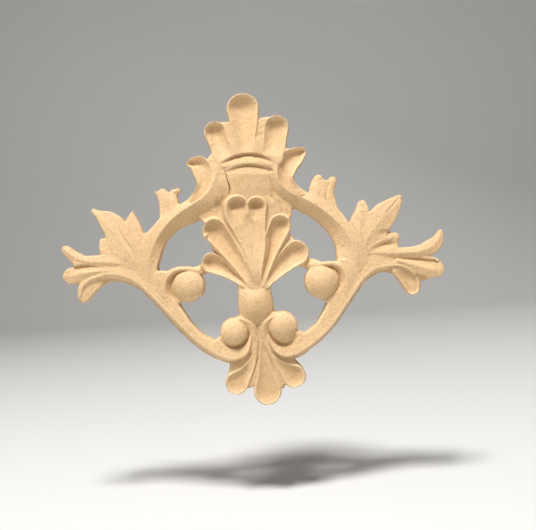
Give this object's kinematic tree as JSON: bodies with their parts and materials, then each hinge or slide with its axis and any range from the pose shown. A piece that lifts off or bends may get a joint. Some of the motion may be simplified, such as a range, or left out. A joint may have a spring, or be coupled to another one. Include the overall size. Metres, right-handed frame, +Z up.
{
  "type": "carved wood applique",
  "caption": "Pierced scrollwork furniture applique with a feathered crown, a fan over a vase, scrolls wound round balls and leafy wings; flat back.",
  "frame": {"origin": "on the flat back, in the middle of the ornament, behind the fan", "axes": "+Z up towards the crown, +X to the right seen from the front, +Y out of the back into the surface that it is fixed to"},
  "size_m": [0.145, 0.0085, 0.118],
  "materials": {
    "wood": "unfinished pale wood pulp, matt, with a fine grain"
  },
  "bodies": {
    "root": {"applique": "wood"}
  },
  "joints": []
}
